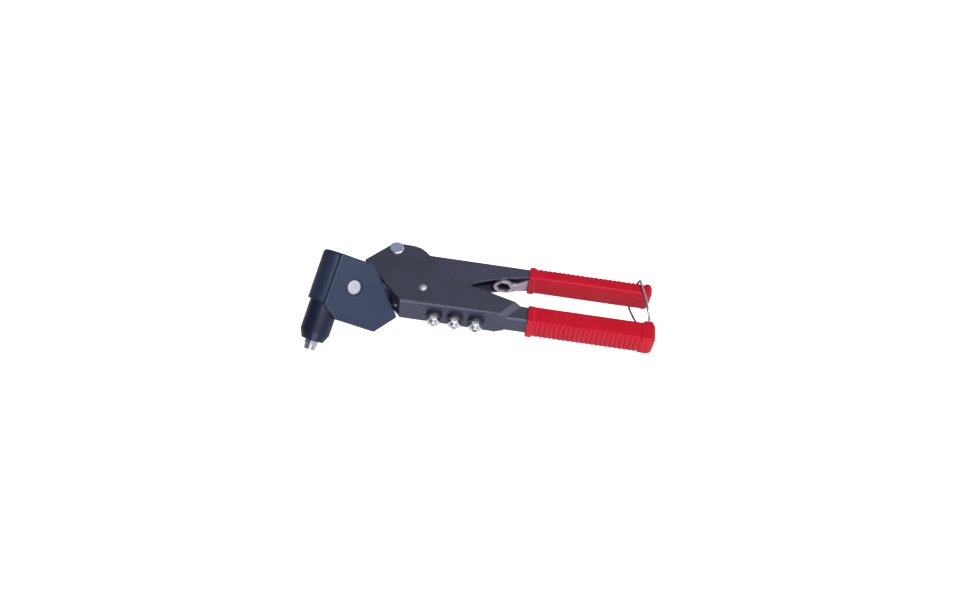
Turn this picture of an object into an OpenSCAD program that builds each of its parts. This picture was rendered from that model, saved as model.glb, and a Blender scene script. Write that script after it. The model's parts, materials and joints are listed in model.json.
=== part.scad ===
/* [Body] */
// half the outside width of the folded body
body_half = 12; // [9:0.1:16]
// half the outside width of the fixed handle
handle_half = 8.5; // [7:0.1:11]
// body sheet thickness
body_sheet = 2.2; // [1.5:0.1:3]
// height of the outside of the body's folded web
web_y = -48.9; // [-56:0.1:-42]
// where the steel of the fixed handle ends
handle_end = 204; // [150:1:260]
// radius of the outer bends
bend_r = 2.2; // [1:0.1:4]
// radius of the lever pivot pin
pivot_r = 4; // [3:0.1:6]
// radius of the lever pivot pin's heads
pivot_head_r = 5.75; // [4.5:0.05:8]
// centre of the stop pin
stop_at = [25.8, -33.6]; // [-60:0.1:60]
// radius of the stop pin
stop_r = 2.5; // [1.5:0.1:4]

/* [Lever] */
// half the outside width of the lever
lever_half = 9.4; // [7:0.1:12]
// lever sheet thickness
lever_sheet = 2; // [1.5:0.1:3]
// where the lever's steel ends
lever_end = 203; // [150:1:260]
// centre of the push roller
roller_at = [8.23, -15.16]; // [-30:0.01:30]
// radius of the push roller
roller_r = 5; // [3:0.1:8]

/* [Grips] */
// where the upper grip starts
upper_grip_x0 = 106.6; // [90:0.1:130]
// where the upper grip ends
upper_grip_x1 = 204.1; // [190:0.1:230]
// where the lower grip starts
lower_grip_x0 = 108.6; // [90:0.1:130]
// where the lower grip ends
lower_grip_x1 = 207.9; // [190:0.1:230]
// thickness of the grip material
grip_wall = 1.3; // [0.8:0.1:3]
// spacing of the grip ribs
rib_pitch = 3.67; // [3:0.01:6]
// height of the grip ribs
rib_h = 0.45; // [0:0.05:1]

/* [Head] */
// angle the head is swivelled to
head_turn = -50; // [-180:1:180]
// a point on the swivel axis
swivel_at = [-6.6, -31]; // [-20:0.1:20]
// half the width across the cheeks
cheek_half = 13.75; // [11:0.05:16]
// position of the nose axis
nose_x = -48.9; // [-60:0.1:-40]
// outer radius of the housing round the nose axis
housing_r = 13.4; // [11:0.1:16]
// radius of the spring chamber
chamber_r = 10; // [8:0.1:11]
// outer radius of the nose tube
tube_r = 11.3; // [9:0.1:13]
// radius of the bore the jaw case runs in
case_bore_r = 8.1; // [7:0.05:9]
// radius of the mandrel bore in the fitted nosepiece
mandrel_r = 1.6; // [0.8:0.05:2]
// pivot of the bell crank
crank_at = [-36.3, -37.8]; // [-50:0.1:-20]
// radius of the crank pin
crank_pin_r = 3; // [2:0.1:4]
// centre of the crank's roller
crank_roller_at = [-28.84, -52.18]; // [-60:0.01:0]
// radius of the crank's roller
crank_roller_r = 4; // [3:0.1:6]
// middle of the crank's fork pads
fork_at = [-48.3, -34]; // [-60:0.1:0]

/* [Drive] */
// radius of the push rod
rod_r = 4; // [3:0.1:6]
// rear end of the push rod along the swivel axis
rod_w0 = -16.6; // [-20:0.05:-10]
// front end of the push rod along the swivel axis
rod_w1 = 26.6; // [20:0.05:30]
// outer radius of the swivel bush
bush_r = 7; // [5:0.1:9]
// radial running clearance
play = 0.05; // [0.02:0.01:0.1]

/* [Latch] */
// pivot of the latch bail
bail_at = [202.5, -41.5]; // [150:0.1:260]
// radius of the bail wire
wire_r = 0.95; // [0.6:0.05:1.5]
// half the width of the bail over the upper grip
bail_half = 11.95; // [11:0.05:14]
// half the width of the bail inside the handle
bail_root = 5.3; // [4:0.05:7]

/* [Spares] */
// positions of the spare nosepieces along the body
spare_x = [37.2, 53.4, 69.7]; // [20:0.1:90]
// radii of their mandrel bores
spare_bore = [0.85, 1.05, 1.3]; // [0.5:0.05:2]
// width across the flats of every nosepiece
nose_af = 9.5; // [7:0.1:14]
// middle of the spanner's ring
ring_at = [87.6, -13.9]; // [60:0.1:110]
// outer radius of the spanner's ring
ring_r = 7.2; // [6:0.1:8]
// thickness of the spanner
spanner_t = 2.6; // [1.5:0.1:4]

/* [Hidden] */
$fn = 64;
eps = 0.02;
mid_z = body_half + 1.7;
body_in = body_half - body_sheet;
handle_in = handle_half - body_sheet;
web_in = web_y + body_sheet;
lever_in = lever_half - lever_sheet;
steel = [0.80, 0.81, 0.84];
dark_steel = [0.24, 0.25, 0.30];
slate = [0.25, 0.29, 0.39];
navy = [0.10, 0.12, 0.20];
vinyl = [0.76, 0.10, 0.14];
black = [0.08, 0.08, 0.09];
spring_steel = [0.62, 0.63, 0.66];
pinkish = [0.80, 0.72, 0.71];
body_top = [
  [-22.7, -14.9], [-12.7, -4.6], [-8.6, -0.3], [-6.3, 2.2], [-4.9, 3.6], [-2.3, 5.1],
  [1, 5.6], [9.6, 5.6], [14.2, 5.3], [18.4, 4.3],
  [22.9, 1.7], [26.7, -1.8], [29.7, -4.8], [33.9, -8.5], [37.6, -12.4], [41.9, -17],
  [44.7, -19.7], [47.8, -21.7], [53.3, -23.5], [60.3, -24.6], [76.8, -28.9], [97.8, -34.6],
  [102.8, -35.7]
];
crease_a = [[84.6, web_y], [97.8, -34.6]];
crease_b = [[91, web_y], [102.8, -35.7]];
cheek = [
  [-54.8, -16.5], [-25.1, -16.5], [7.5, -49.1], [-7.6, -65.5], [-42.3, -65.4], [-55.4, -56.9]
];
lever_side = [
  [0, 0], [lever_end, 0], [lever_end, -7.2], [106.5, -7.2], [96.1, -9.6], [87.7, -11.4],
  [80.9, -13.4], [68.5, -18.2], [60.3, -22.8], [56, -25.4], [50, -27.3], [42, -28.4],
  [27, -28.6], [20.5, -27.2], [4.6, -19], [-4.6, -2.6]
];
near_leg = [
  [202.5, -41.5, 7.4], [202.5, -41.5, bail_root], [203.6, -30.6, bail_root],
  [200.9, -25.3, bail_half], [200.2, -20.9, bail_half], [198.4, -12.7, bail_half],
  [195.7, -3.4, bail_half], [193.7, 3.65, bail_half]
];
far_leg = [
  [202.5, -41.5, -7.4], [202.5, -41.5, -bail_root], [203.6, -30.6, -bail_root],
  [199.5, -25.2, -bail_half], [194.6, -18.5, -bail_half], [191.3, -11.7, -bail_half],
  [189.9, -8.3, -bail_half], [188, 3.65, -bail_half]
];

// which sub-part to show

// sets the tool's mid-plane above the far face of the pivot pin
module lifted() {
  translate([0, 0, mid_z]) children();
}

// extrudes a side view between two heights
module slab(z0, z1) {
  translate([0, 0, z0]) linear_extrude(height = z1 - z0) children();
}

// extrudes a cross-section, drawn as (y, z), along X
module along_x(x0, x1) {
  translate([x0, 0, 0]) rotate([90, 0, 90]) linear_extrude(height = x1 - x0) children();
}

// puts +Z on the swivel axis, pointing at the head, a distance w from the body's front
module on_swivel(w) {
  translate([swivel_at[0], swivel_at[1], 0])
    rotate([0, 0, 225]) rotate([0, 90, 0]) translate([0, 0, w]) children();
}

// turns the head about the swivel axis
module swivelled() {
  translate([swivel_at[0], swivel_at[1], 0]) rotate(a = head_turn, v = [-1, -1, 0])
    translate([-swivel_at[0], -swivel_at[1], 0]) children();
}

// puts +Z on the nose axis, pointing out of the nose, from height y
module on_nose(y) {
  translate([nose_x, y, 0]) rotate([90, 0, 0]) children();
}

// a cylinder along Z, both ways from the mid-plane
module across(at, r, half) {
  translate([at[0], at[1], -half]) cylinder(r = r, h = 2 * half);
}

// a round wire from a to b
module wire(a, b, r) {
  hull() {
    translate(a) sphere(r = r, $fn = 16);
    translate(b) sphere(r = r, $fn = 16);
  }
}

// a rounded rectangle given by its corners
module rounded_box(y0, y1, z1, r) {
  offset(r = r, $fn = 20) offset(delta = -r) translate([y0, -z1]) square([y1 - y0, 2 * z1]);
}

// a square-wire coil spring standing on the plane z = 0
module coil(ri, ro, height, turns, fill) {
  steps = 5;
  arc = 360 * fill;
  linear_extrude(height = height, twist = -360 * turns, slices = 10 * turns)
    polygon(concat(
      [for (i = [0:steps]) ro * [cos(arc * i / steps), sin(arc * i / steps)]],
      [for (i = [steps:-1:0]) ri * [cos(arc * i / steps), sin(arc * i / steps)]]
    ));
}

// the body's side view as far back as a slanted crease
module body_side_front(crease, floor_y, roof) {
  polygon(concat(
    roof ? [[-40, 40], [crease[1][0] + 8, 40], crease[1]] : [],
    [crease[0]],
    [[crease[0][0], floor_y], [-40, floor_y]]
  ));
}

// a thin slab standing on a crease line
module crease_slab(crease, half, lift) {
  slope = (crease[1][0] - crease[0][0]) / (crease[1][1] - crease[0][1]);
  low = [crease[0][0] + slope * lift, crease[0][1] + lift];
  top = lift > 0 ? [crease[1][0] + slope, crease[1][1] + 1] : crease[1];
  slab(-half, half) polygon([low, top, [top[0] + 0.1, top[1]], [low[0] + 0.1, low[1]]]);
}

// folded steel channel: wide body in front, set in by a joggle to the narrower handle
module body_shell() {
  color(dark_steel) lifted() difference() {
    union() {
      intersection() {
        slab(-body_half, body_half)
          polygon(concat(body_top, [crease_a[1], crease_a[0], [10, web_y], [9.7, -47.3]]));
        along_x(-40, 100) rounded_box(web_y, 40, body_half, bend_r);
      }
      intersection() {
        slab(-handle_half, handle_half) polygon([
          crease_b[1], [handle_end, crease_b[1][1]], [handle_end, web_y], crease_b[0]
        ]);
        along_x(80, 220) rounded_box(web_y, 40, handle_half, bend_r);
      }
      hull() {
        crease_slab(crease_a, body_half, 0);
        crease_slab(crease_b, handle_half, 0);
      }
    }
    slab(-body_in, body_in) polygon([
      [-40, 40], [crease_a[1][0] + 3, 40], crease_a[1] + [0.97, 1],
      crease_a[0] + body_sheet * [0.923, 1] + [0.05, 0], [-40, web_in]
    ]);
    slab(-handle_in, handle_in) polygon([
      crease_b[1] + [0.9, 1], [230, 0], [230, web_in], crease_b[0] + body_sheet * [0.894, 1]
    ]);
    hull() {
      crease_slab(crease_a, body_in, body_sheet);
      crease_slab(crease_b, handle_in, body_sheet);
    }
    across([0, 0], pivot_r, 30);
    across(stop_at, stop_r, 30);
    across(bail_at, wire_r + play, 30);
    for (x = spare_x)
      translate([x, web_y - 5, 0]) rotate([-90, 0, 0]) cylinder(r = 5, h = 10);
  }
}

// square plate closing the front of the body between its sides
module front_plate() {
  color(dark_steel) lifted() on_swivel(-4.5) difference() {
    translate([-body_in, -22, 0]) cube([2 * body_in, 45.6, 3]);
    translate([0, 0, -1]) cylinder(r = bush_r + eps, h = 5);
  }
}

// hollow bush the head turns on and the push rod runs through
module swivel_bush() {
  color(steel) lifted() on_swivel(-10) difference() {
    cylinder(r = bush_r, h = 22);
    translate([0, 0, -1]) cylinder(r = rod_r + play, h = 24);
  }
}

// slotted round nut holding the bush behind the front plate
module bush_nut() {
  color(dark_steel) lifted() on_swivel(-9) difference() {
    cylinder(r = 9.3, h = 4.48);
    translate([0, 0, -1]) cylinder(r = bush_r + eps, h = 7);
    for (a = [0:90:270])
      rotate([0, 0, a]) translate([8.3, -1.5, -1]) cube([3, 3, 3]);
  }
}

// ring on the front of the bush that keeps the head on
module bush_ring() {
  color(steel) lifted() on_swivel(8.1) difference() {
    cylinder(r = 9.5, h = 2.4);
    translate([0, 0, -1]) cylinder(r = bush_r + eps, h = 5);
  }
}

// washer in the gap between head and body
module swivel_washer() {
  color(dark_steel) lifted() on_swivel(-1.48) difference() {
    cylinder(r = 9.6, h = 4.24);
    translate([0, 0, -1]) cylinder(r = bush_r + 0.1, h = 7);
  }
}

// leaf spring on the front plate that the back of the head clicks over
module detent_spring() {
  color(spring_steel) lifted() on_swivel(0) along_x(-2.8, -0.6) polygon([
    [11.5, -0.98], [14, -0.98], [17, 1.3], [18.5, 2.4], [19.6, 2.76], [20.7, 2.2], [21.5, 1.2],
    [21.1, 0.9], [20.3, 1.75], [19.6, 2.2], [18.8, 1.95], [17.4, 0.85], [14.3, -1.48],
    [11.5, -1.48]
  ]);
}

// rivet-headed pin the lever turns on
module lever_pivot_pin() {
  color(steel) lifted() {
    across([0, 0], pivot_r, body_half + 0.2);
    for (s = [-1, 1])
      scale([1, 1, s]) translate([0, 0, body_half]) {
        cylinder(r = pivot_head_r, h = 1);
        translate([0, 0, 1]) cylinder(r1 = pivot_head_r, r2 = pivot_head_r - 0.8, h = 0.7);
      }
  }
}

// dome-headed cross pin the lever stops against
module stop_pin() {
  color(steel) lifted() {
    across(stop_at, stop_r, body_half + 0.2);
    for (s = [-1, 1])
      scale([1, 1, s]) translate([stop_at[0], stop_at[1], body_half]) rotate_extrude()
        intersection() {
          translate([0, -2.55]) circle(r = 4);
          square([3.1, 2]);
        }
  }
}

// threaded collars in the web that the spare nosepieces screw into
module nosepiece_sockets() {
  color(black) lifted() for (x = spare_x)
    translate([x, web_y + 3.4, 0]) rotate([90, 0, 0]) difference() {
      union() {
        cylinder(r = 5 - eps, h = 4);
        translate([0, 0, 3.4]) cylinder(r = 6.3, h = 3.2);
        translate([0, 0, 6.6]) cylinder(r1 = 6.3, r2 = 5.6, h = 0.8);
      }
      translate([0, 0, -1]) cylinder(r = 4 + eps, h = 12);
    }
}

// one nosepiece along +Z: threaded stub, hexagon, then the tip; z = 0 is the hexagon's seat
module nosepiece_shape(bore, stub, hex_h, tip_r, end_r, tip_h) {
  difference() {
    union() {
      translate([0, 0, -stub]) cylinder(r = 4, h = stub);
      intersection() {
        cylinder(r = nose_af / sqrt(3), h = hex_h, $fn = 6);
        translate([0, 0, -1]) cylinder(r1 = 8, r2 = nose_af / 2 + 0.15, h = hex_h + 1);
      }
      translate([0, 0, hex_h]) cylinder(r1 = tip_r, r2 = end_r, h = tip_h);
    }
    translate([0, 0, -stub - 1]) cylinder(r = bore, h = stub + hex_h + tip_h + 2);
  }
}

module spare(i) {
  color(steel) lifted() translate([spare_x[i], web_y - 4, 0]) rotate([90, 0, 0])
    nosepiece_shape(spare_bore[i], 6, 3.4, 4.6, 2.4, 2.6);
}

module spare_nosepiece_small() {
  spare(0);
}

module spare_nosepiece_medium() {
  spare(1);
}

module spare_nosepiece_large() {
  spare(2);
}

// cross-section of the fixed handle's grip, grown by g
module lower_section(g, top) {
  rounded_box(web_y - grip_wall - g, top, handle_half + grip_wall + g / 2, 2.4);
}

// dipped sleeve on the fixed handle with ribs, end beads and a slot for the bail
module lower_grip() {
  top = -34.2;
  outer = web_y - grip_wall;
  color(vinyl) lifted() difference() {
    union() {
      along_x(lower_grip_x0, lower_grip_x1 - 1) lower_section(0, top);
      along_x(lower_grip_x1 - 1.02, lower_grip_x1)
        offset(delta = -0.8) lower_section(0, top);
      along_x(lower_grip_x0, lower_grip_x0 + 5.5) lower_section(1.3, top);
      along_x(196.5, lower_grip_x1 - 0.4) lower_section(1, top);
      along_x(198, 205.8) rounded_box(-40, top + 1.8, handle_half + grip_wall + 0.5, 1.2);
      for (x = [lower_grip_x0 + 7.6:rib_pitch:195])
        translate([x, outer - rib_h, -8.6]) cube([1.7, 2, 17.2]);
    }
    along_x(lower_grip_x0 - 1, handle_end + eps)
      translate([web_y - eps, -handle_half - eps])
        square([-35.7 - web_y + 2 * eps, 2 * (handle_half + eps)]);
    translate([176, -35.9, -6.9]) cube([40, 10, 13.8]);
    translate([203.9, -42.3, -6.9]) cube([10, 12, 13.8]);
  }
}

// folded steel lever with its web on top
module lever_arm() {
  color(dark_steel) lifted() difference() {
    intersection() {
      union() {
        slab(-lever_half, lever_half) polygon(lever_side);
        across([0, 0], 5.3, lever_half);
        across(roller_at, 5.4, lever_half);
      }
      along_x(-20, 220) rounded_box(-60, 5.4, lever_half, 0.4);
      along_x(-20, 220) union() {
        rounded_box(-60, 0, lever_half, 2);
        translate([-60, -lever_half]) square([58, 2 * lever_half]);
        translate([-3, -lever_half]) square([9, lever_sheet]);
        translate([-3, lever_in]) square([9, lever_sheet]);
      }
    }
    difference() {
      slab(-lever_in, lever_in)
        polygon([[-20, 10], [23, 10], [23, -lever_sheet], [220, -lever_sheet], [220, -60], [-20, -60]]);
    }
    across([0, 0], pivot_r + play, 30);
    across(roller_at, 2.5, 30);
  }
}

// spacer tube between the lever's sides on the pivot pin
module pivot_sleeve() {
  color(steel) lifted() difference() {
    across([0, 0], 5.2, lever_in);
    across([0, 0], pivot_r + play, 30);
  }
}

// pin through the lever's sides that the push roller turns on
module roller_pin() {
  color(steel) lifted() across(roller_at, 2.5, lever_half);
}

// roller that pushes the rod
module push_roller() {
  color(steel) lifted() difference() {
    across(roller_at, roller_r, 6.9);
    across(roller_at, 2.5 + play, 30);
  }
}

// cross-section of the lever's grip, grown by g on its top and by below on its bottom
module upper_section(g, below) {
  rounded_box(-7.4 - grip_wall - below, 1.5 + g, lever_half + 1.1 + g / 3, 2.4);
}

// dipped sleeve on the lever with ribs, end beads and a recess for the spanner
module upper_grip() {
  color(vinyl) lifted() difference() {
    union() {
      along_x(upper_grip_x0, upper_grip_x1 - 1) upper_section(0, 0);
      along_x(upper_grip_x1 - 1.02, upper_grip_x1) offset(delta = -0.8) upper_section(0.8, 0);
      along_x(upper_grip_x0, upper_grip_x0 + 5.5) upper_section(1.2, 1.2);
      along_x(198, upper_grip_x1 - 0.8) upper_section(1.3, 0);
      for (x = [upper_grip_x0 + 7.4:rib_pitch:193])
        translate([x, 0.5, -9.2]) cube([1.7, 1 + rib_h, 18.4]);
    }
    along_x(upper_grip_x0 - 1, lever_end + eps)
      translate([-7.25, -lever_half - eps]) square([7.27, 2 * (lever_half + eps)]);
    translate([upper_grip_x0 - 1, -8.65, -6.6]) cube([5.2, 3, 13.2]);
  }
}

// flat ring spanner for the nosepieces, its bent tail held in the lever's grip
module spanner() {
  low = ring_at[1];
  tail_y = -7;
  color(pinkish) lifted() difference() {
    union() {
      hull()
        for (s = [-0.9, 0.9])
          translate([ring_at[0] + s, low, 0]) rotate([-90, 0, 0])
            cylinder(r = ring_r, h = spanner_t);
      intersection() {
        slab(-20, 20) polygon([
          [91, low], [95, low], [99.5, low + 1.4], [106.4, -8.5], [110.4, tail_y], [160, tail_y],
          [160, tail_y + spanner_t], [109.6, tail_y + spanner_t], [105.3, -6], [98.6, -10],
          [94.6, low + spanner_t], [91, low + spanner_t]
        ]);
        translate([0, -30, 0]) rotate([-90, 0, 0]) linear_extrude(height = 40) polygon([
          [90, 5.9], [94, 4.7], [97.5, 4.3], [102, 4.9], [107, 5.8], [120, 5.8], [156, 5],
          [160, 3], [160, -3], [156, -5], [120, -5.8], [107, -5.8], [102, -4.9], [97.5, -4.3],
          [94, -4.7], [90, -5.9]
        ]);
      }
    }
    translate([ring_at[0], low - 5, 0]) rotate([-90, 0, 0])
      cylinder(r = (nose_af + 0.2) / sqrt(3), h = 20, $fn = 6);
  }
}

// sprung wire bail that holds the handles together
module latch_bail() {
  color(steel) lifted() {
    for (leg = [near_leg, far_leg])
      for (i = [0:6])
        wire(leg[i], leg[i + 1], wire_r);
    wire(near_leg[7], far_leg[7], wire_r);
  }
}

// push rod with a thinner front tip
module push_rod() {
  color(steel) lifted() on_swivel(rod_w0) {
    cylinder(r = rod_r, h = rod_w1 - rod_w0 - 4);
    cylinder(r = 3, h = rod_w1 - rod_w0);
  }
}

// the head's side view, rounded at its corners and shrunk by g
module cheek_side(g) {
  offset(r = 1.8, $fn = 32) offset(delta = -1.8 - g) polygon(cheek);
}

// cast head: two cheeks and a round housing on the nose axis
module head_casting() {
  color(slate) lifted() swivelled() difference() {
    union() {
      hull() {
        slab(1.6 - cheek_half, cheek_half - 1.6) cheek_side(0);
        slab(0.5 - cheek_half, cheek_half - 0.5) cheek_side(0.45);
        slab(-cheek_half, cheek_half) cheek_side(1.5);
      }
      on_nose(-16.5) rotate_extrude() polygon(concat(
        [[0, 39.2], [0, 0]],
        [for (a = [0:15:90]) [housing_r - 3 + 3 * sin(a), 3 - 3 * cos(a)]],
        [[housing_r, 39.2]]
      ));
    }
    slab(-8.9, 8.9) intersection() {
      translate(crank_at) circle(r = 21);
      offset(delta = -5.3) polygon(cheek);
    }
    on_nose(-15) cylinder(r = chamber_r, h = 40.7);
    on_nose(-55.7) cylinder(r = tube_r + eps, h = 20);
    on_swivel(8) cylinder(r = 10.2, h = 8);
    on_swivel(0) cylinder(r = bush_r + play, h = 10);
    on_swivel(8) cylinder(r = rod_r + 0.6, h = 22);
    across(crank_at, crank_pin_r, 30);
    for (s = [-1, 1])
      scale([1, 1, s]) translate([crank_at[0], crank_at[1], cheek_half - 1.2])
        cylinder(r = 7.1, h = 5);
  }
}

// screwed cap over the return spring, with two spanner holes
module spring_cap() {
  color(dark_steel) lifted() swivelled() on_nose(-16.9) difference() {
    cylinder(r = chamber_r - eps, h = 1.8);
    translate([0, 0, -1]) cylinder(r = 4.4, h = 5);
    for (s = [-1, 1])
      translate([7 * s, 0, -1]) cylinder(r = 1, h = 5);
  }
}

// steel tube the jaw case slides in
module nose_tube() {
  color(navy) lifted() swivelled() difference() {
    union() {
      on_nose(-47) cylinder(r = chamber_r - eps, h = 10);
      on_nose(-55.75) cylinder(r = tube_r, h = 23.45);
      on_nose(-79.2) cylinder(r1 = tube_r, r2 = 8.4, h = 6.5);
    }
    on_nose(-46) cylinder(r = case_bore_r, h = 31.5);
    on_nose(-77) cylinder(r = 4 + eps, h = 20);
  }
}

// fitted nosepiece that the rivet's mandrel goes into
module nosepiece() {
  color(steel) lifted() swivelled() on_nose(-85.72)
    nosepiece_shape(mandrel_r, 8, 3.4, 4.6, 4.2, 4);
}

// headed pin the bell crank turns on
module crank_pin() {
  color(steel) lifted() swivelled() {
    across(crank_at, crank_pin_r, cheek_half - 1);
    for (s = [-1, 1])
      scale([1, 1, s]) translate([crank_at[0], crank_at[1], cheek_half - 1.2])
        cylinder(r = 5.3, h = 1.2);
  }
}

// bell crank: two side plates, a hub, roller ears behind and fork pads in front
module bell_crank() {
  color(dark_steel) lifted() swivelled() difference() {
    union() {
      for (s = [-1, 1])
        scale([1, 1, s]) {
          hull() {
            translate([crank_at[0], crank_at[1], 3.3]) cylinder(r = 5.5, h = 3, $fn = 32);
            translate([crank_roller_at[0], crank_roller_at[1], 3.3])
              cylinder(r = 3.4, h = 3, $fn = 32);
          }
          hull() {
            translate([crank_at[0], crank_at[1], 6.5]) cylinder(r = 5.5, h = 2.2, $fn = 32);
            translate([fork_at[0], fork_at[1], 6.5]) cylinder(r = 2.6, h = 2.2, $fn = 32);
          }
          translate([fork_at[0], fork_at[1], 4.2]) cylinder(r = 3, h = 4.5);
        }
      across(crank_at, 5.5, 8.7);
    }
    across(crank_at, crank_pin_r + play, 30);
    across(crank_roller_at, 2, 30);
  }
}

// pin of the crank's roller
module crank_roller_pin() {
  color(steel) lifted() swivelled() across(crank_roller_at, 2, 6.3);
}

// roller the push rod's tip bears on
module crank_roller() {
  color(steel) lifted() swivelled() difference() {
    across(crank_roller_at, crank_roller_r, 3);
    across(crank_roller_at, 2 + play, 30);
  }
}

// hollow drawbar with the collar that the crank's fork lifts
module drawbar() {
  color(steel) lifted() swivelled() on_nose(-19.5) difference() {
    union() {
      cylinder(r = 4, h = 28.5);
      translate([0, 0, 8.5]) cylinder(r = 6.4, h = 2.95);
    }
    translate([0, 0, -1]) cylinder(r = 2, h = 40);
  }
}

// tapered case that closes the jaws
module jaw_case() {
  color(steel) lifted() swivelled() on_nose(-44) difference() {
    cylinder(r = case_bore_r - play, h = 24);
    translate([0, 0, -1]) cylinder(r = 4 + eps, h = 8);
    translate([0, 0, 5]) cylinder(r = 6.2, h = 11.05);
    translate([0, 0, 16]) cylinder(r1 = 6.2, r2 = 3, h = 8.01);
  }
}

// three jaws that grip the mandrel
module jaws() {
  color(dark_steel) lifted() swivelled() on_nose(-60.6) for (a = [0:120:240])
    rotate([0, 0, a]) rotate_extrude(angle = 112)
      polygon([[1.3, 0], [5.6, 0], [2.92, 6.7], [1.3, 6.7]]);
}

// tube with a cone end that spreads the jaws
module jaw_pusher() {
  color(steel) lifted() swivelled() on_nose(-55.4) difference() {
    union() {
      cylinder(r = 6.1, h = 1.6);
      cylinder(r = 4.2, h = 5.15);
    }
    translate([0, 0, -1]) cylinder(r = 2, h = 8);
  }
}

// spring behind the jaw pusher
module jaw_spring() {
  color(spring_steel) lifted() swivelled() on_nose(-49.1) coil(4.5, 5.8, 6.2, 2.5, 0.5);
}

// spring that sends the drawbar back towards the nose
module return_spring() {
  color(spring_steel) lifted() swivelled() on_nose(-18.75) coil(4.5, 6.1, 9.2, 3, 0.5);
}

body_shell();
front_plate();
swivel_bush();
bush_nut();
bush_ring();
swivel_washer();
detent_spring();
lever_pivot_pin();
stop_pin();
nosepiece_sockets();
lower_grip();
spare_nosepiece_small();
spare_nosepiece_medium();
spare_nosepiece_large();
lever_arm();
pivot_sleeve();
roller_pin();
push_roller();
upper_grip();
spanner();
latch_bail();
push_rod();
head_casting();
spring_cap();
nose_tube();
nosepiece();
crank_pin();
bell_crank();
crank_roller_pin();
crank_roller();
drawbar();
jaw_case();
jaws();
jaw_pusher();
jaw_spring();
return_spring();
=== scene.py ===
import json
import math

import bmesh
import bpy
from mathutils import Matrix, Vector


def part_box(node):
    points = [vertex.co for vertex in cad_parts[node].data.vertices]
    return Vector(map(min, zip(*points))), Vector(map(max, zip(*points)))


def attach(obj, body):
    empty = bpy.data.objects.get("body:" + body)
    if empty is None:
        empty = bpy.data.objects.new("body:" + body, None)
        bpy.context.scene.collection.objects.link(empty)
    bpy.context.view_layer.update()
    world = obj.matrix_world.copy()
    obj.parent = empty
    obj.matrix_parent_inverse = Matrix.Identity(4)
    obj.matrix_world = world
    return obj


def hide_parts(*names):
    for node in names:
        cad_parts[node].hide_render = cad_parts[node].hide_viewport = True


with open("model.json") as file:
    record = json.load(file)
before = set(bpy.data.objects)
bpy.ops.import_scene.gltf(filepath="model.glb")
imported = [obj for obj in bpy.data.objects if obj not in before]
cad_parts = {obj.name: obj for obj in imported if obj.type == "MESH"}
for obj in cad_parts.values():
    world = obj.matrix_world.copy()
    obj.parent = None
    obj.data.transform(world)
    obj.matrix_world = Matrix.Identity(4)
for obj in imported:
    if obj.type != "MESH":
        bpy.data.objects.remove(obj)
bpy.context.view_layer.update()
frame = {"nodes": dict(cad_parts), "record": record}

MM = 0.001
RIB_PITCH = 3.67        # spacing of the grip ribs, mm
RIB_HEIGHT = 0.45       # height of the grip ribs, mm


# ---------------------------------------------------------------- materials

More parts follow.
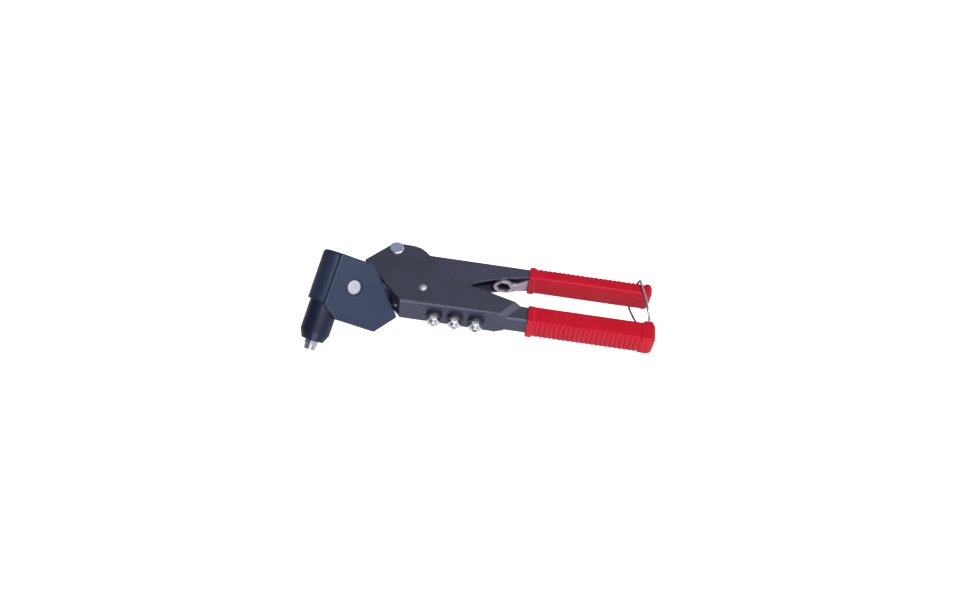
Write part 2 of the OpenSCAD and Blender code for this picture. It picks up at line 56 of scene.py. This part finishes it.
class Nodes:
    """Small helper for building one procedural material."""

    def __init__(self, name):
        self.mat = bpy.data.materials.new(name)
        self.mat.use_nodes = True
        self.tree = self.mat.node_tree
        self.tree.nodes.clear()
        self.out = self.tree.nodes.new("ShaderNodeOutputMaterial")
        self.bsdf = self.tree.nodes.new("ShaderNodeBsdfPrincipled")
        self.tree.links.new(self.bsdf.outputs[0], self.out.inputs["Surface"])
        coord = self.tree.nodes.new("ShaderNodeTexCoord")
        self.coord = coord.outputs["Object"]

    def link(self, a, b):
        self.tree.links.new(a, b)

    def set(self, **values):
        for key, value in values.items():
            self.bsdf.inputs[key.replace("_", " ")].default_value = value

    def noise(self, scale, detail=4.0, rough=0.55):
        node = self.tree.nodes.new("ShaderNodeTexNoise")
        node.inputs["Scale"].default_value = scale
        node.inputs["Detail"].default_value = detail
        node.inputs["Roughness"].default_value = rough
        node.inputs["Distortion"].default_value = 0.0
        self.link(self.coord, node.inputs["Vector"])
        return node.outputs["Fac"]

    def ramp(self, source, stops):
        node = self.tree.nodes.new("ShaderNodeValToRGB")
        ramp = node.color_ramp
        while len(ramp.elements) < len(stops):
            ramp.elements.new(0.5)
        for element, (at, colour) in zip(ramp.elements, stops):
            element.position = at
            element.color = (*colour, 1)
        self.link(source, node.inputs["Fac"])
        return node.outputs["Color"]

    def span(self, source, low, high, from_low=0.0, from_high=1.0):
        node = self.tree.nodes.new("ShaderNodeMapRange")
        node.inputs["From Min"].default_value = from_low
        node.inputs["From Max"].default_value = from_high
        node.inputs["To Min"].default_value = low
        node.inputs["To Max"].default_value = high
        self.link(source, node.inputs["Value"])
        return node.outputs["Result"]

    def math(self, op, a, b):
        node = self.tree.nodes.new("ShaderNodeMath")
        node.operation = op
        for socket, value in zip(node.inputs, (a, b)):
            if isinstance(value, (int, float)):
                socket.default_value = value
            else:
                self.link(value, socket)
        return node.outputs[0]

    def part(self, vector, axis):
        node = self.tree.nodes.new("ShaderNodeSeparateXYZ")
        self.link(vector, node.inputs[0])
        return node.outputs[axis]

    def mix(self, factor, a, b):
        node = self.tree.nodes.new("ShaderNodeMix")
        node.data_type = "RGBA"
        self.link(factor, node.inputs["Factor"])
        for socket, value in ((node.inputs[6], a), (node.inputs[7], b)):
            if isinstance(value, tuple):
                socket.default_value = (*value, 1)
            else:
                self.link(value, socket)
        return node.outputs[2]

    def bump(self, height, strength, distance):
        node = self.tree.nodes.new("ShaderNodeBump")
        node.inputs["Strength"].default_value = strength
        node.inputs["Distance"].default_value = distance
        self.link(height, node.inputs["Height"])
        previous = self.bsdf.inputs["Normal"].links
        if previous:
            self.link(previous[0].from_socket, node.inputs["Normal"])
        self.link(node.outputs["Normal"], self.bsdf.inputs["Normal"])

    def edges(self, radius, low, high):
        """1 on worn convex edges, 0 elsewhere."""
        geometry = self.tree.nodes.new("ShaderNodeNewGeometry")
        bevel = self.tree.nodes.new("ShaderNodeBevel")
        bevel.samples = 4
        bevel.inputs["Radius"].default_value = radius
        dot = self.tree.nodes.new("ShaderNodeVectorMath")
        dot.operation = "DOT_PRODUCT"
        self.link(bevel.outputs["Normal"], dot.inputs[0])
        self.link(geometry.outputs["Normal"], dot.inputs[1])
        return self.span(dot.outputs["Value"], 1.0, 0.0, low, high)


def painted(name, dark, light, rough=0.42, metal=0.25, coat=0.15, shine=0.85):
    """Hammer-smooth enamel over steel with a little mottling and edge wear."""
    n = Nodes(name)
    mottle = n.noise(45.0, 5.0)
    fine = n.noise(900.0, 3.0)
    base = n.ramp(mottle, ((0.3, dark), (0.7, light)))
    worn = n.edges(0.0006, 0.80, 0.97)
    chips = n.math("MULTIPLY", worn, n.span(n.noise(260.0), 0.0, 1.0, 0.45, 0.62))
    n.link(n.mix(chips, base, tuple(min(1.0, c * 2.2 + 0.04) for c in light)),
           n.bsdf.inputs["Base Color"])
    n.link(n.span(mottle, rough - 0.06, rough + 0.08), n.bsdf.inputs["Roughness"])
    n.set(Metallic=metal, Coat_Weight=coat, Coat_Roughness=0.25,
          Specular_Tint=(0.74, 0.78, 1.0, 1.0), Specular_IOR_Level=shine)
    n.bump(fine, 0.12, 0.0002)
    n.bump(mottle, 0.08, 0.0004)
    return n.mat


def metal(name, dark, light, rough, metallic=1.0):
    """Bare or plated steel with fine grain."""
    n = Nodes(name)
    lines = n.noise(400.0, 4.0, 0.6)
    cloud = n.noise(120.0, 4.0)
    n.link(n.ramp(cloud, ((0.3, dark), (0.7, light))), n.bsdf.inputs["Base Color"])
    n.link(n.span(lines, rough - 0.08, rough + 0.12), n.bsdf.inputs["Roughness"])
    n.set(Metallic=metallic)
    n.bump(lines, 0.10, 0.00008)
    return n.mat


def vinyl(name, side=1, first=0.0, last=0.0):
    """Dipped vinyl: saturated red, faint orange peel, with painted shade in the grooves on one side
    (+-Y).
    """
    n = Nodes(name)
    cloud = n.noise(30.0, 4.0)
    peel = n.noise(420.0, 3.0)
    base = n.ramp(cloud, ((0.3, (0.44, 0.007, 0.018)), (0.7, (0.49, 0.009, 0.025))))
    x, tilt = n.part(n.coord, "X"), n.part(n.coord.node.outputs["Normal"], "Y")
    # painted shade: the base colour is darkened in the rib grooves on the side facing side * Y
    groove_shade = n.span(n.math("PINGPONG", n.math("SUBTRACT", x, first * MM), RIB_PITCH * MM / 2),
                    1.0, 0.0, 0.07 * RIB_PITCH * MM, 0.25 * RIB_PITCH * MM)
    ribbed = n.math("MULTIPLY", n.math("GREATER_THAN", x, first * MM),
                    n.math("LESS_THAN", x, last * MM))
    groove_shade = n.math("MULTIPLY", groove_shade, ribbed)
    groove_shade = n.math("MULTIPLY", groove_shade, n.span(n.math("MULTIPLY", tilt, side), 0.0, 1.0, 0.7, 0.97))
    n.link(n.mix(n.math("MULTIPLY", groove_shade, 0.42), base, (0.16, 0.001, 0.006)),
           n.bsdf.inputs["Base Color"])
    n.link(n.span(groove_shade, 0.22, 0.06), n.bsdf.inputs["Specular IOR Level"])
    n.link(n.span(peel, 0.20, 0.28), n.bsdf.inputs["Roughness"])
    n.set(Specular_Tint=(1.0, 0.30, 0.45, 1.0))
    n.bump(peel, 0.10, 0.0003)
    return n.mat


LOOKS = {
    "body_steel": painted("body paint", (0.030, 0.032, 0.053), (0.041, 0.044, 0.069)),
    "lever_steel": painted("lever paint", (0.037, 0.039, 0.070), (0.050, 0.052, 0.090)),
    "head_paint": painted("head paint", (0.015, 0.023, 0.054), (0.022, 0.032, 0.070),
                          0.46, 0.15, 0.08, 0.6),
    "tube_steel": painted("tube paint", (0.006, 0.008, 0.022), (0.010, 0.013, 0.032),
                          0.34, 0.15, 0.12, 0.45),
    "bright_steel": metal("bright steel", (0.82, 0.82, 0.86), (0.92, 0.92, 0.95), 0.26),
    "chrome_wire": metal("chrome wire", (0.46, 0.47, 0.52), (0.58, 0.59, 0.64), 0.30),
    "spring_steel": metal("spring steel", (0.30, 0.31, 0.34), (0.42, 0.43, 0.46), 0.32),
    # painted reflection: the spanner's pink tint stands for the red grips reflected in the grey zinc
    "spanner_zinc": metal("spanner zinc with painted grip reflection", (0.56, 0.47, 0.54), (0.68, 0.59, 0.66), 0.42),
    # the sockets' black is partly their own black oxide and partly painted shadow of the spare
    # nosepieces on the web
    "socket_black": painted("black oxide", (0.014, 0.014, 0.019), (0.022, 0.022, 0.028), 0.48),
    "inner_steel": metal("machined steel", (0.34, 0.35, 0.37), (0.46, 0.47, 0.49), 0.34),
    "red_vinyl": vinyl("red vinyl"),
}
DULL_STEEL = metal("dull steel", (0.43, 0.43, 0.49), (0.51, 0.51, 0.57), 0.5, 0.55)
GREY_STEEL = metal("grey steel", (0.56, 0.58, 0.67), (0.66, 0.68, 0.77), 0.30)
# painted reflection: a blue-tinted steel that stands for the bluish sky reflected in the pin's flat
# ends
PIN_END_SKY_REFLECTION = metal("pin ends with painted sky reflection", (0.44, 0.52, 0.76), (0.54, 0.62, 0.86), 0.42)

slot_of = {s["node"]: s["material_slot"] for s in frame["record"]["subparts"]}
body_of = {node: body for body, nodes in frame["record"]["behaviour"]["bodies"].items()
           for node in nodes}
for name, obj in frame["nodes"].items():
    obj.data.materials.clear()
    obj.data.materials.append(LOOKS[slot_of[name]])


# ---------------------------------------------------------------- mesh helpers

SHARP = math.radians(38.0)


def settle(name, mesh, nodes, sharp=SHARP):
    """Puts a finished mesh in the scene, standing for the CAD nodes and riding on their body."""
    mesh.materials.clear()
    mesh.materials.append(LOOKS[slot_of[nodes[0]]])
    mesh.shade_smooth()
    mesh.set_sharp_from_angle(angle=sharp)
    piece = bpy.data.objects.new(name, mesh)
    bpy.context.scene.collection.objects.link(piece)
    weighted = piece.modifiers.new("normals", "WEIGHTED_NORMAL")
    weighted.keep_sharp = True
    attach(piece, body_of[nodes[0]])
    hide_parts(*nodes)
    return piece


def polish(node, width, weld, hollow, segments=2, angle=28.0, flat=0.5):
    """A copy of a CAD node with clean flat faces and rounded edges, inner corners only if hollow."""
    bm = bmesh.new()
    bm.from_mesh(frame["nodes"][node].data)
    bmesh.ops.remove_doubles(bm, verts=bm.verts, dist=weld * MM)
    bmesh.ops.dissolve_limit(bm, angle_limit=math.radians(flat), verts=bm.verts, edges=bm.edges)
    edges = [e for e in bm.edges
             if len(e.link_faces) == 2 and e.calc_face_angle(0.0) > math.radians(angle)
             and (hollow or e.is_convex)]
    bmesh.ops.bevel(bm, geom=edges, offset=width * MM, offset_type="OFFSET", segments=segments,
                    profile=0.5, affect="EDGES", clamp_overlap=False)
    bmesh.ops.remove_doubles(bm, verts=bm.verts, dist=2e-6)
    mesh = bpy.data.meshes.new(node + "_mesh")
    bm.to_mesh(mesh)
    bm.free()
    return settle(node + "_finish", mesh, [node])


def mesh_of(name, verts, faces):
    mesh = bpy.data.meshes.new(name + "_mesh")
    mesh.from_pydata([tuple(c * MM for c in v) for v in verts], [], faces)
    bm = bmesh.new()
    bm.from_mesh(mesh)
    bmesh.ops.remove_doubles(bm, verts=bm.verts, dist=1e-7)
    bmesh.ops.recalc_face_normals(bm, faces=bm.faces)
    bm.to_mesh(mesh)
    bm.free()
    return mesh


def smooth(t):
    t = min(1.0, max(0.0, t))
    return t * t * (3 - 2 * t)


def hump(x, start, end, blend):
    """1 between start and end, falling smoothly to 0 over blend on both sides."""
    return smooth((x - start) / blend + 0.5) * smooth((end - x) / blend + 0.5)


def section(x, y0, y1, half, r, lift=lambda c, s: 0.0, steps=7):
    """A rounded rectangle in the plane X = x; lift gives the outward offset at a normal (c, s)."""
    r = min(r, half - 0.05, (y1 - y0) / 2 - 0.05)
    points = []
    for k, (cy, cz) in enumerate(((y1 - r, half - r), (y0 + r, half - r),
                                  (y0 + r, r - half), (y1 - r, r - half))):
        for i in range(steps + 1):
            a = math.radians(90.0 * (k + i / steps))
            out = r + lift(math.cos(a), math.sin(a))
            points.append((x, cy + out * math.cos(a), MID + cz + out * math.sin(a)))
    return points


def sleeve(name, outer, inner, nodes):
    """A closed-ended sleeve from rings listed from its mouth to its end."""
    count = len(outer[0])
    verts, faces = [], []
    for rings in (outer, inner):
        base = len(verts)
        for ring in rings:
            verts.extend(ring)
        for i in range(len(rings) - 1):
            for j in range(count):
                k = (j + 1) % count
                a, b = base + i * count, base + (i + 1) * count
                faces.append((a + j, a + k, b + k, b + j))
        last = base + (len(rings) - 1) * count
        faces.append(tuple(range(last, last + count)))
    start = len(outer) * count
    for j in range(count):
        k = (j + 1) % count
        faces.append((j, k, start + k, start + j))
    return mesh_of(name, verts, faces)


def cut(mesh, boxes):
    """Cuts boxes, given by two corners, out of a mesh."""
    corners = [(0, 1, 3, 2), (4, 6, 7, 5), (0, 4, 5, 1), (2, 3, 7, 6), (0, 2, 6, 4), (1, 5, 7, 3)]
    result = mesh
    for low, high in boxes:
        tool = mesh_of("cutter", [(x, y, z) for x in (low[0], high[0])
                                  for y in (low[1], high[1]) for z in (low[2], high[2])], corners)
        cutter = bpy.data.objects.new("cutter", tool)
        target = bpy.data.objects.new("target", result)
        for o in (cutter, target):
            bpy.context.scene.collection.objects.link(o)
        step = target.modifiers.new("cut", "BOOLEAN")
        step.object = cutter
        step.solver = "EXACT"
        bpy.context.view_layer.update()
        graph = bpy.context.evaluated_depsgraph_get()
        result = bpy.data.meshes.new_from_object(target.evaluated_get(graph))
        bpy.data.objects.remove(target)
        bpy.data.objects.remove(cutter)
    return result


def rounded_path(points, radius, steps):
    """The polyline with each inner corner swapped for a curve."""
    path = [Vector(points[0])]
    for before, at, after in zip(points, points[1:], points[2:]):
        before, at, after = Vector(before), Vector(at), Vector(after)
        u, v = (before - at), (after - at)
        start = at + u.normalized() * min(radius, u.length * 0.45)
        end = at + v.normalized() * min(radius, v.length * 0.45)
        for i in range(steps + 1):
            t = i / steps
            path.append(start * (1 - t) ** 2 + at * 2 * t * (1 - t) + end * t * t)
    path.append(Vector(points[-1]))
    return path


def tube(name, path, radius, sides=16):
    """Sweeps a round wire along a path, with domed ends."""
    first, last = (path[1] - path[0]).normalized(), (path[-1] - path[-2]).normalized()
    normal = first.orthogonal().normalized()
    rings, tangent = [], first
    for i, p in enumerate(path):
        ahead = path[min(i + 1, len(path) - 1)] - path[max(i - 1, 0)]
        new = ahead.normalized()
        normal = (tangent.rotation_difference(new) @ normal).normalized()
        tangent = new
        side = tangent.cross(normal)
        rings.append([p + radius * (normal * math.cos(a) + side * math.sin(a))
                      for a in (2 * math.pi * j / sides for j in range(sides))])
    verts = [tuple(v) for ring in rings for v in ring]
    faces = [(i * sides + j, i * sides + (j + 1) % sides,
              (i + 1) * sides + (j + 1) % sides, (i + 1) * sides + j)
             for i in range(len(rings) - 1) for j in range(sides)]
    for ring, tip in ((0, path[0] - first * radius * 0.5),
                      (len(rings) - 1, path[-1] + last * radius * 0.5)):
        top = len(verts)
        verts.append(tuple(tip))
        faces += [(ring * sides + j, ring * sides + (j + 1) % sides, top) for j in range(sides)]
    return mesh_of(name, verts, faces)


# ---------------------------------------------------------------- measured places

low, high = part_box("lever_pivot_pin")
MID = (low.z + high.z) / 2 / MM
low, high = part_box("upper_grip")
UPPER_X0, UPPER_X1 = low.x / MM, high.x / MM
low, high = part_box("lower_grip")
LOWER_X0, LOWER_X1 = low.x / MM, high.x / MM


# ---------------------------------------------------------------- grips

GRIP_STEP = 0.3                                 # spacing of the rings along a grip, mm
UPPER_STEEL_END, LOWER_STEEL_END = 203.01, 204.01   # ends of the steel inside the grips, mm
UPPER_RIBS = (1, UPPER_X0 + 6.8, 195.0)
LOWER_RIBS = (-1, LOWER_X0 + 6.8, 195.5)


def rib(x, first, last):
    """Height of the ribs at x, a row of soft ridges."""
    if x < first or x > last:
        return 0.0
    phase = ((x - first) % RIB_PITCH) / RIB_PITCH
    return RIB_HEIGHT * smooth(min(phase, 1 - phase) * 6.0 - 0.65)


def stations(x0, x1):
    """Places along a grip, with how far each is drawn in at the rounded mouth and end."""
    places = [(x0, 0.55), (x0 + 0.15, 0.25), (x0 + 0.5, 0.0)]
    tip = 4.0
    steps = int((x1 - tip - x0 - 0.8) / GRIP_STEP)
    places += [(x0 + 0.8 + i * GRIP_STEP, 0.0) for i in range(steps)]
    for i in range(9):
        a = math.radians(90.0 * i / 8)
        places.append((x1 - tip + tip * math.sin(a), 2.8 * (1 - math.cos(a))))
    return places


def build_grip(name, node, x0, x1, outside, inside, steel_end, ribs, cuts=()):
    outer = [outside(x, inset) for x, inset in stations(x0, x1)]
    inner = [inside(x) for x in (x0, x0 + 20.0, steel_end)]
    mesh = sleeve(name, outer, inner, [node])
    grip = settle(name, cut(mesh, cuts), [node], math.radians(50.0))
    grip.data.materials[0] = vinyl(name + " vinyl", *ribs)


def upper_outside(x, inset):
    front = hump(x, UPPER_X0 - 5, UPPER_X0 + 5.2, 1.4)
    rear = hump(x, 198.6, UPPER_X1 + 5, 2.4)
    ridge = rib(x, *UPPER_RIBS[1:])
    return section(x, -8.7 - 1.15 * front + inset, 1.5 + 1.15 * front + 1.2 * rear - inset,
                   10.5 + 0.4 * max(front, rear) - inset, 2.4,
                   lambda c, s: ridge * smooth(c * 1.4))


def upper_inside(x):
    return section(x, -7.24, 0.01, 9.41, 0.25)


def lower_outside(x, inset):
    front = hump(x, LOWER_X0 - 5, LOWER_X0 + 5.2, 1.4)
    rear = hump(x, 197.0, LOWER_X1 + 5, 1.6)
    heel = hump(x, 198.8, LOWER_X1 - 1.8, 1.6)
    ridge = rib(x, *LOWER_RIBS[1:])
    return section(x, -50.2 - 1.25 * front - 0.95 * rear + inset, -34.2 + 1.75 * heel - inset,
                   9.8 + 0.6 * front + 0.45 * rear - inset, 2.4,
                   lambda c, s: ridge * smooth(-c * 1.4))


def lower_inside(x):
    return section(x, -48.91, -35.69, 8.51, 0.25)


SPANNER_MOUTH = ((UPPER_X0 - 1, -8.65, MID - 6.6), (UPPER_X0 + 4.2, -5.65, MID + 6.6))
BAIL_SLOT = ((176, -35.9, MID - 6.9), (230, -25, MID + 6.9))
BAIL_END_SLOT = ((203.9, -42.3, MID - 6.9), (230, -25, MID + 6.9))
build_grip("upper_grip_sleeve", "upper_grip", UPPER_X0, UPPER_X1, upper_outside, upper_inside,
           UPPER_STEEL_END, UPPER_RIBS, (SPANNER_MOUTH,))
build_grip("lower_grip_sleeve", "lower_grip", LOWER_X0, LOWER_X1, lower_outside, lower_inside,
           LOWER_STEEL_END, LOWER_RIBS, (BAIL_SLOT, BAIL_END_SLOT))


# ---------------------------------------------------------------- wire latch bail

BAIL_PIVOT = (202.5, -41.5)
BAIL_ROOT, BAIL_HALF, WIRE_R = 5.3, 11.95, 0.95
NEAR_LEG = [(203.6, -30.6, BAIL_ROOT), (200.9, -25.3, BAIL_HALF), (200.2, -20.9, BAIL_HALF),
            (198.4, -12.7, BAIL_HALF), (195.7, -3.4, BAIL_HALF), (193.7, 3.65, BAIL_HALF)]
FAR_LEG = [(203.6, -30.6, -BAIL_ROOT), (199.5, -25.2, -BAIL_HALF), (194.6, -18.5, -BAIL_HALF),
           (191.3, -11.7, -BAIL_HALF), (189.9, -8.3, -BAIL_HALF), (188.0, 3.65, -BAIL_HALF)]
wire = [(*BAIL_PIVOT, 7.8), (*BAIL_PIVOT, BAIL_ROOT)] + NEAR_LEG + FAR_LEG[::-1]
wire += [(*BAIL_PIVOT, -BAIL_ROOT), (*BAIL_PIVOT, -7.8)]
wire = [(x, y, z + MID) for x, y, z in wire]
settle("latch_wire", tube("latch_wire", rounded_path(wire, 2.2, 8), WIRE_R), ["latch_bail"])


# ---------------------------------------------------------------- steel parts with rounded edges

EDGE_WIDTH = {
    "body_shell": 0.30, "front_plate": 0.15, "lever_arm": 0.28, "head_casting": 0.35,
    "nose_tube": 0.35, "spanner": 0.30, "nosepiece_sockets": 0.30, "swivel_washer": 0.25,
    "stop_pin": 0.15, "crank_pin": 0.30, "lever_pivot_pin": 0.12, "nosepiece": 0.22,
    "spare_nosepiece_small": 0.22, "spare_nosepiece_medium": 0.22,
    "spare_nosepiece_large": 0.22, "spring_cap": 0.20, "detent_spring": 0.10,
}
# the creases of the folded body leave slivers up to 0.1 mm wide, so its points weld wider
BODY_WELD, PLAIN_WELD = 0.13, 0.003
finished = {node: polish(node, width, weld=BODY_WELD if node == "body_shell" else PLAIN_WELD,
                         hollow=node != "head_casting")
            for node, width in EDGE_WIDTH.items()}
for node, look in (("stop_pin", DULL_STEEL), ("crank_pin", DULL_STEEL),
                   ("lever_pivot_pin", GREY_STEEL), ("nosepiece", GREY_STEEL)):
    finished[node].data.materials[0] = look
pin = finished["lever_pivot_pin"].data
# the flat end faces of the pivot pin get the painted sky reflection, the chamfer rim stays grey
pin.materials.append(PIN_END_SKY_REFLECTION)
pin_low, pin_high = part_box("lever_pivot_pin")
for face in pin.polygons:
    if min(pin_high.z - face.center.z, face.center.z - pin_low.z) < 0.05 * MM:
        face.material_index = 1


# ---------------------------------------------------------------- floor, light, camera

FLOOR_Z = (MID - 60.0) * MM
FLOOR_HALF = 3.0
floor_mesh = bpy.data.meshes.new("floor")
floor_mesh.from_pydata(
    [(x, y, FLOOR_Z) for x, y in ((-FLOOR_HALF, -FLOOR_HALF), (FLOOR_HALF, -FLOOR_HALF),
                                  (FLOOR_HALF, FLOOR_HALF), (-FLOOR_HALF, FLOOR_HALF))],
    [], [(0, 1, 2, 3)])
floor = bpy.data.objects.new("floor", floor_mesh)
bpy.context.scene.collection.objects.link(floor)
paper = Nodes("paper")
rays = paper.tree.nodes.new("ShaderNodeLightPath").outputs
tone = paper.ramp(paper.noise(3.0), ((0.3, (0.93, 0.93, 0.93)), (0.7, (0.95, 0.95, 0.95))))
paper.link(paper.mix(rays["Is Glossy Ray"], tone, (0.62, 0.63, 0.68)),
           paper.bsdf.inputs["Base Color"])
paper.set(Roughness=0.95, Specular_IOR_Level=0.1, Emission_Color=(1, 1, 1, 1))
paper.link(paper.span(rays["Is Camera Ray"], 0.05, 0.80), paper.bsdf.inputs["Emission Strength"])
floor_mesh.materials.append(paper.mat)


def area(name, at, target, size, power, colour=(1, 1, 1), narrow=1.0):
    light = bpy.data.lights.new(name, "AREA")
    light.shape = "ELLIPSE"
    light.size = size
    light.size_y = size * narrow
    light.energy = power
    light.color = colour
    obj = bpy.data.objects.new(name, light)
    bpy.context.scene.collection.objects.link(obj)
    obj.location = at
    obj.rotation_euler = (Vector(target) - Vector(at)).to_track_quat("-Z", "Y").to_euler()


centre = Vector((0.07, -0.03, MID * MM))
area("key", centre + Vector((0.15, -0.45, 1.05)), centre, 0.55, 6.5, narrow=0.25)
area("low_front", centre + Vector((0.10, -1.10, 0.30)), centre, 0.8, 7.2, (0.86, 0.90, 1.0))
area("right", centre + Vector((1.0, -0.40, 0.35)), centre, 1.0, 0.6)
area("top", centre + Vector((0.80, -0.30, 1.1)), centre, 1.3, 9.5)
area("back", centre + Vector((0.0, 0.70, 0.97)), centre, 1.0, 0.9)
area("far_right", centre + Vector((0.78, 0.72, 0.36)), centre, 0.6, 1.2)

world = bpy.data.worlds.new("world")
world.use_nodes = True
sky = world.node_tree.nodes["Background"]
sky.inputs["Color"].default_value = (0.96, 0.97, 1.0, 1)
strength = world.node_tree.nodes.new("ShaderNodeMapRange")
strength.inputs["To Min"].default_value = 0.14
strength.inputs["To Max"].default_value = 1.0
world.node_tree.links.new(
    world.node_tree.nodes.new("ShaderNodeLightPath").outputs["Is Camera Ray"],
    strength.inputs["Value"])
world.node_tree.links.new(strength.outputs["Result"], sky.inputs["Strength"])
bpy.context.scene.world = world
bpy.context.scene.view_settings.view_transform = "Standard"

AIM = Vector((70.6, -29.2, MID)) * MM
DISTANCE = 860.0 * MM
ELEVATION = math.radians(54.5)
ROLL = math.radians(8.2)
back = Vector((0.0, -math.cos(ELEVATION), math.sin(ELEVATION)))
right = Vector((1.0, 0.0, 0.0))
up = back.cross(right)
camera_right = right * math.cos(ROLL) + up * math.sin(ROLL)
camera_up = up * math.cos(ROLL) - right * math.sin(ROLL)
camera_data = bpy.data.cameras.new("camera")
camera_data.sensor_width = 36.0
camera_data.lens = 36.0 * 1100.0 / 960.0
camera_data.clip_start = 0.01
camera = bpy.data.objects.new("camera", camera_data)
bpy.context.scene.collection.objects.link(camera)
turn = Matrix((camera_right, camera_up, back)).transposed().to_4x4()
camera.matrix_world = Matrix.Translation(AIM + back * DISTANCE) @ turn
bpy.context.scene.camera = camera
